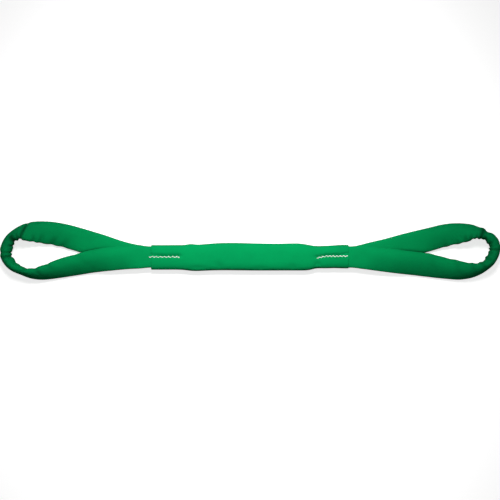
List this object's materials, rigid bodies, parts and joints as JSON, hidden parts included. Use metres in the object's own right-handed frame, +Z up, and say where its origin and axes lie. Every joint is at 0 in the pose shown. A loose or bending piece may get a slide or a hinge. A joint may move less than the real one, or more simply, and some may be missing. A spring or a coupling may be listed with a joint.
{
  "type": "round sling",
  "caption": "Eye and eye round sling: tubular fabric jacket over a yarn core, its legs bound by a sewn sleeve that leaves a soft lifting eye at each end.",
  "frame": {"origin": "on the ground plane, under the middle of the sling's outline as it lies flat", "axes": "+X along the sling towards the right eye, +Y across it, +Z up from the ground"},
  "size_m": [0.9547, 0.1126, 0.0359],
  "materials": {
    "jacket_fabric": "woven polyester, slight sheen",
    "liner_fabric": "woven polyester",
    "core_yarn": "untwisted polyester yarn",
    "seam_thread": "twisted thread",
    "binding_tape": "woven tape",
    "tag_face": "coated label stock, blank"
  },
  "bodies": {
    "left_half": {"left_half_sleeve": "jacket_fabric", "left_mouth_hem": "jacket_fabric", "left_end_stitching": "seam_thread", "left_half_front_leg_jacket": "jacket_fabric", "left_half_front_leg_liner": "liner_fabric", "left_half_back_leg_jacket": "jacket_fabric", "left_half_back_leg_liner": "liner_fabric", "left_half_core_turn_1": "core_yarn", "left_half_core_turn_2": "core_yarn", "left_half_core_turn_3": "core_yarn", "left_half_core_turn_4": "core_yarn", "left_half_core_turn_5": "core_yarn", "left_half_core_turn_6": "core_yarn", "left_half_core_turn_7": "core_yarn", "left_half_core_turn_8": "core_yarn"},
    "left_eye": {"left_eye_jacket": "jacket_fabric", "left_eye_liner": "liner_fabric", "left_eye_core_turn_1": "core_yarn", "left_eye_core_turn_2": "core_yarn", "left_eye_core_turn_3": "core_yarn", "left_eye_core_turn_4": "core_yarn", "left_eye_core_turn_5": "core_yarn", "left_eye_core_turn_6": "core_yarn", "left_eye_core_turn_7": "core_yarn", "left_eye_core_turn_8": "core_yarn"},
    "right_half": {"right_half_sleeve": "jacket_fabric", "right_mouth_hem": "jacket_fabric", "right_end_stitching": "seam_thread", "right_half_front_leg_jacket": "jacket_fabric", "right_half_front_leg_liner": "liner_fabric", "right_half_back_leg_jacket": "jacket_fabric", "right_half_back_leg_liner": "liner_fabric", "right_half_core_turn_1": "core_yarn", "right_half_core_turn_2": "core_yarn", "right_half_core_turn_3": "core_yarn", "right_half_core_turn_4": "core_yarn", "right_half_core_turn_5": "core_yarn", "right_half_core_turn_6": "core_yarn", "right_half_core_turn_7": "core_yarn", "right_half_core_turn_8": "core_yarn", "core_splice_tapes": "binding_tape", "identity_tag": "tag_face", "tag_stitching": "seam_thread"},
    "right_eye": {"right_eye_jacket": "jacket_fabric", "right_eye_liner": "liner_fabric", "right_eye_core_turn_1": "core_yarn", "right_eye_core_turn_2": "core_yarn", "right_eye_core_turn_3": "core_yarn", "right_eye_core_turn_4": "core_yarn", "right_eye_core_turn_5": "core_yarn", "right_eye_core_turn_6": "core_yarn", "right_eye_core_turn_7": "core_yarn", "right_eye_core_turn_8": "core_yarn"}
  },
  "joints": [
    {"name": "sleeve_fold", "type": "hinge", "parent": "left_half", "child": "right_half", "pos_m": [0, -0.012, 0.0145], "axis": [0, 1, 0], "range_deg": [-60, 60]},
    {"name": "left_eye_bend", "type": "hinge", "parent": "left_half", "child": "left_eye", "pos_m": [-0.205, -0.012, 0.0145], "axis": [0, 1, 0], "range_deg": [-80, 80]},
    {"name": "right_eye_bend", "type": "hinge", "parent": "right_half", "child": "right_eye", "pos_m": [0.205, -0.012, 0.0145], "axis": [0, 1, 0], "range_deg": [-80, 80]}
  ]
}
